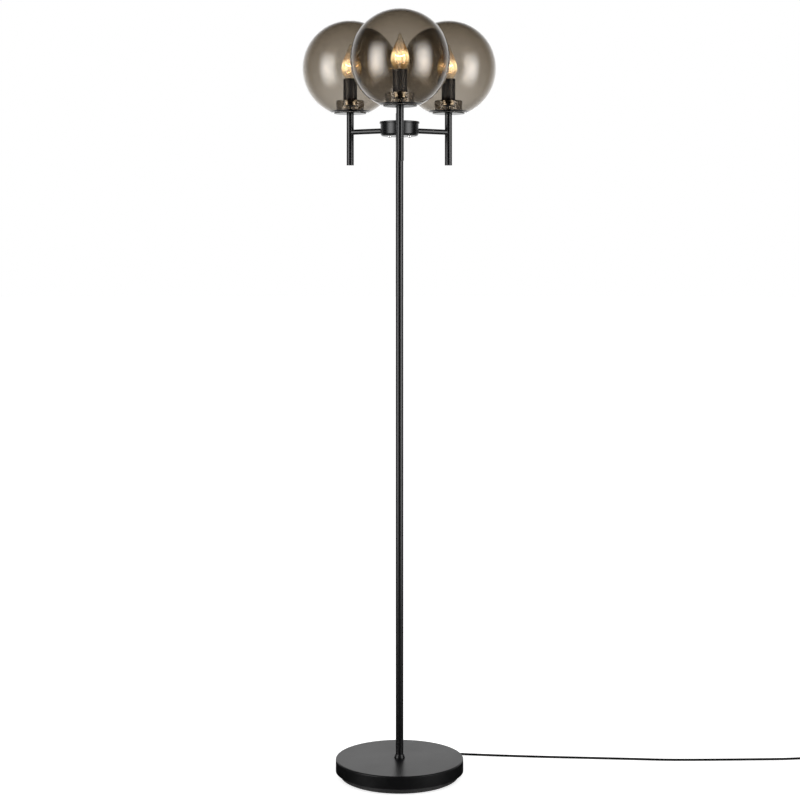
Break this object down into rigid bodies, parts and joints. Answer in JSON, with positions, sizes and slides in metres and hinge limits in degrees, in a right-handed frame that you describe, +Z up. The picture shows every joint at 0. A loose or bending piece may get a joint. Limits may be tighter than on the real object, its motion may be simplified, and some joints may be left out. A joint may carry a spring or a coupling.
{
  "type": "floor lamp",
  "caption": "Black floor lamp: round weighted foot, slim pole and hub with spoke arms; smoked glass globes stand on saucers round candle bulbs; mains lead with foot switch and plug.",
  "frame": {"origin": "on the pole's axis, on the floor under the foot's pad", "axes": "+Z up along the pole, -Y towards the front arm and its globe, +X to the right seen from the front, the side where the mains lead runs"},
  "size_m": [1.1883, 0.3595, 1.488],
  "materials": {
    "black_steel": "satin black powder coat",
    "cast_iron": "painted black casting",
    "foam_pad": "fine-celled black foam rubber",
    "zinc_steel": "zinc-plated steel",
    "nickel": "bright nickel plate",
    "smoked_glass": "smoke-brown blown glass, glossy",
    "clear_glass": "clear glass",
    "silicone": "translucent silicone",
    "holder_black": "moulded black plastic",
    "brass": "plated brass",
    "bulb_metal": "plated bulb cap",
    "filament": "glass stem and wires, filament glowing warm",
    "cord_black": "black sheathed lead",
    "wire_sheath": "sheathed wire",
    "terminal_white": "moulded white plastic",
    "switch_black": "moulded black plastic",
    "plug_black": "moulded black plastic"
  },
  "bodies": {
    "frame": {"arm_front": "black_steel", "arm_left": "black_steel", "arm_right": "black_steel", "base_cover": "black_steel", "base_nut": "zinc_steel", "base_pad": "foam_pad", "base_weight": "cast_iron", "collar_front": "nickel", "collar_left": "nickel", "collar_right": "nickel", "cord_coil": "cord_black", "cord_grommet": "cord_black", "cord_lead": "cord_black", "foot_stud": "zinc_steel", "head_wires": "wire_sheath", "holder_cap_front": "holder_black", "holder_cap_left": "holder_black", "holder_cap_right": "holder_black", "holder_contacts": "brass", "holder_shell_front": "holder_black", "holder_shell_left": "holder_black", "holder_shell_right": "holder_black", "hub_body": "black_steel", "hub_lid": "black_steel", "hub_screws": "nickel", "hub_stud": "zinc_steel", "lamp_stems": "zinc_steel", "plug_body": "plug_black", "plug_pins": "brass", "pole_couplers": "zinc_steel", "pole_ferrule": "black_steel", "pole_finial": "black_steel", "pole_lower": "black_steel", "pole_middle": "black_steel", "pole_upper": "black_steel", "saucer_front": "black_steel", "saucer_left": "black_steel", "saucer_right": "black_steel", "seat_rings": "silicone", "supply_wire": "cord_black", "switch_base": "switch_black", "switch_cover": "switch_black", "terminal_block": "terminal_white", "upright_front": "black_steel", "upright_left": "black_steel", "upright_plugs": "black_steel", "upright_right": "black_steel"},
    "globe_front": {"globe_front": "smoked_glass"},
    "bulb_front": {"bulb_cap_front": "bulb_metal", "bulb_glass_front": "clear_glass", "bulb_filament_front": "filament"},
    "globe_right": {"globe_right": "smoked_glass"},
    "bulb_right": {"bulb_cap_right": "bulb_metal", "bulb_glass_right": "clear_glass", "bulb_filament_right": "filament"},
    "globe_left": {"globe_left": "smoked_glass"},
    "bulb_left": {"bulb_cap_left": "bulb_metal", "bulb_glass_left": "clear_glass", "bulb_filament_left": "filament"},
    "switch_button": {"switch_button": "switch_black"}
  },
  "joints": [
    {"name": "globe_front_lift", "type": "slide", "parent": "frame", "child": "globe_front", "axis": [0, 0, 1], "range_m": [0, 0.15]},
    {"name": "bulb_front_screw", "type": "hinge", "parent": "frame", "child": "bulb_front", "pos_m": [0, -0.113, 1.355], "axis": [0, 0, 1], "range_deg": [0, 1080]},
    {"name": "globe_right_lift", "type": "slide", "parent": "frame", "child": "globe_right", "axis": [0, 0, 1], "range_m": [0, 0.15]},
    {"name": "bulb_right_screw", "type": "hinge", "parent": "frame", "child": "bulb_right", "pos_m": [0.09786, 0.0565, 1.355], "axis": [0, 0, 1], "range_deg": [0, 1080]},
    {"name": "globe_left_lift", "type": "slide", "parent": "frame", "child": "globe_left", "axis": [0, 0, 1], "range_m": [0, 0.15]},
    {"name": "bulb_left_screw", "type": "hinge", "parent": "frame", "child": "bulb_left", "pos_m": [-0.09786, 0.0565, 1.355], "axis": [0, 0, 1], "range_deg": [0, 1080]},
    {"name": "switch_press", "type": "slide", "parent": "frame", "child": "switch_button", "axis": [0, 0, -1], "range_m": [0, 0.0025], "stiffness_N_per_m": 900}
  ]
}
